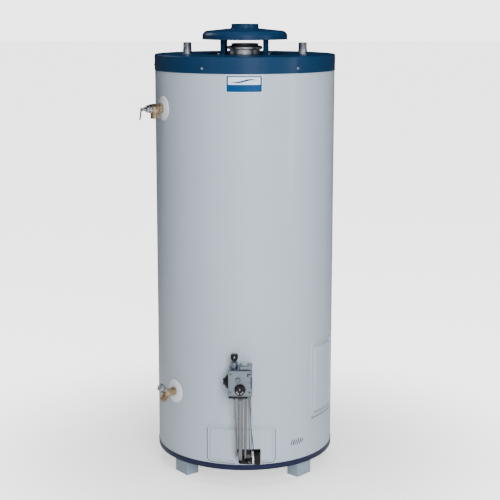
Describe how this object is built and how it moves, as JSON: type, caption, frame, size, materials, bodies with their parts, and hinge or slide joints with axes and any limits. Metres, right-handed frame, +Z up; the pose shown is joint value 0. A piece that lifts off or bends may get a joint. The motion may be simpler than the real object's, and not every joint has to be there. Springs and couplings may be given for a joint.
{
  "type": "tank water heater",
  "caption": "Upright gas storage water heater with a draft hood, top pipe nipples, a gas control with a dial, relief and drain valves, a burner door, a side cover and short feet.",
  "frame": {"origin": "on the tank's axis at floor level, midway between the four floor-anchor holes", "axes": "+Z up along the tank, -Y towards the front where the gas control is, +X to the right seen from the front"},
  "size_m": [0.7128, 0.773, 1.6895],
  "materials": {
    "enamel_light_grey": "satin enamel",
    "enamel_dark_blue": "gloss enamel",
    "foot_steel": "satin enamel",
    "galvanised_steel": "satin",
    "zinc_screw": "satin",
    "bare_steel": "mill",
    "glass_lined_steel": "gloss",
    "cast_aluminium": "satin casting",
    "aluminium_tube": "satin",
    "anode_metal": "matte",
    "brass": "satin",
    "black_plastic": "matte",
    "black_iron": "painted",
    "white_plastic": "satin",
    "escutcheon_plastic": "satin",
    "badge_foil": "gloss",
    "spring_steel": "polished",
    "gasket_rubber": "matte",
    "foam_insulation": "matte",
    "button_plastic": "satin"
  },
  "bodies": {
    "heater": {"jacket": "enamel_light_grey", "top_pan": "enamel_dark_blue", "bottom_pan": "enamel_dark_blue", "foot_front_left": "foot_steel", "foot_front_right": "foot_steel", "foot_rear_left": "foot_steel", "foot_rear_right": "foot_steel", "foot_bolts": "zinc_screw", "casing_screws": "zinc_screw", "insulation": "foam_insulation", "tank_shell": "glass_lined_steel", "tank_bottom_head": "glass_lined_steel", "tank_top_head": "glass_lined_steel", "tank_spuds": "bare_steel", "flue_tube": "bare_steel", "flue_baffle": "bare_steel", "flue_ring": "galvanised_steel", "anode_rod": "anode_metal", "dip_tube": "white_plastic", "cold_water_nipple": "galvanised_steel", "hot_water_nipple": "galvanised_steel", "combustion_skirt": "bare_steel", "burner_tray": "galvanised_steel", "draft_hood_bell": "enamel_dark_blue", "draft_hood_collar": "enamel_dark_blue", "draft_hood_legs": "enamel_dark_blue", "control_body": "cast_aluminium", "control_cover": "cast_aluminium", "control_flange": "black_iron", "control_screws": "zinc_screw", "reset_spring": "spring_steel", "regulator_cap": "black_plastic", "thermostat_probe": "brass", "manifold_tube": "aluminium_tube", "pilot_tube": "aluminium_tube", "thermocouple_lead": "aluminium_tube", "tube_nuts": "brass", "pilot_burner": "galvanised_steel", "main_burner": "black_iron", "burner_orifice": "brass", "inner_door": "galvanised_steel", "burner_door": "enamel_light_grey", "relief_escutcheon": "escutcheon_plastic", "relief_body": "brass", "relief_bonnet": "spring_steel", "relief_spring": "spring_steel", "drain_escutcheon": "escutcheon_plastic", "drain_body": "brass", "access_cover": "enamel_light_grey", "handhole_cover": "bare_steel", "handhole_gasket": "gasket_rubber", "handhole_bolts": "zinc_screw", "badge_plate": "badge_foil"},
    "temperature_dial": {"temperature_dial": "black_plastic"},
    "gas_cock_knob": {"gas_cock_knob": "black_plastic"},
    "reset_button": {"reset_button": "button_plastic"},
    "relief_stem": {"relief_stem": "spring_steel"},
    "relief_lever": {"relief_lever": "spring_steel"},
    "drain_stem": {"drain_stem": "spring_steel"},
    "drain_handle": {"drain_handle": "spring_steel"}
  },
  "joints": [
    {"name": "temperature_dial_turn", "type": "hinge", "parent": "heater", "child": "temperature_dial", "pos_m": [0, -0.42, 0.402], "axis": [0, -1, 0], "range_deg": [0, 270]},
    {"name": "gas_cock_turn", "type": "hinge", "parent": "heater", "child": "gas_cock_knob", "pos_m": [-0.0215, -0.38275, 0.509], "axis": [0, 0, 1], "range_deg": [0, 180]},
    {"name": "reset_press", "type": "slide", "parent": "heater", "child": "reset_button", "axis": [0, 0, -1], "range_m": [0, 0.0035], "stiffness_N_per_m": 600, "springref_m": -0.004, "deforming": ["reset_spring"]},
    {"name": "relief_stem_lift", "type": "slide", "parent": "heater", "child": "relief_stem", "axis": [-0.866, -0.5, 0], "range_m": [0, 0.003], "stiffness_N_per_m": 2500, "springref_m": -0.004, "deforming": ["relief_spring"]},
    {"name": "relief_lever_turn", "type": "hinge", "parent": "relief_stem", "child": "relief_lever", "pos_m": [-0.3633, -0.20975, 1.387], "axis": [-0.5, 0.866, 0], "range_deg": [0, 80]},
    {"name": "drain_stem_lift", "type": "slide", "parent": "heater", "child": "drain_stem", "axis": [-0.5947, -0.517, 0.6157], "range_m": [0, 0.004]},
    {"name": "drain_handle_turn", "type": "hinge", "parent": "drain_stem", "child": "drain_handle", "pos_m": [-0.2992, -0.26009, 0.3554], "axis": [-0.5947, -0.517, 0.6157], "range_deg": [0, 720]}
  ],
  "couplings": [
    {"joint": "relief_lever_turn", "follows": "relief_stem_lift", "rad_per_m": 465.42},
    {"joint": "drain_handle_turn", "follows": "drain_stem_lift", "rad_per_m": 3141.6}
  ]
}
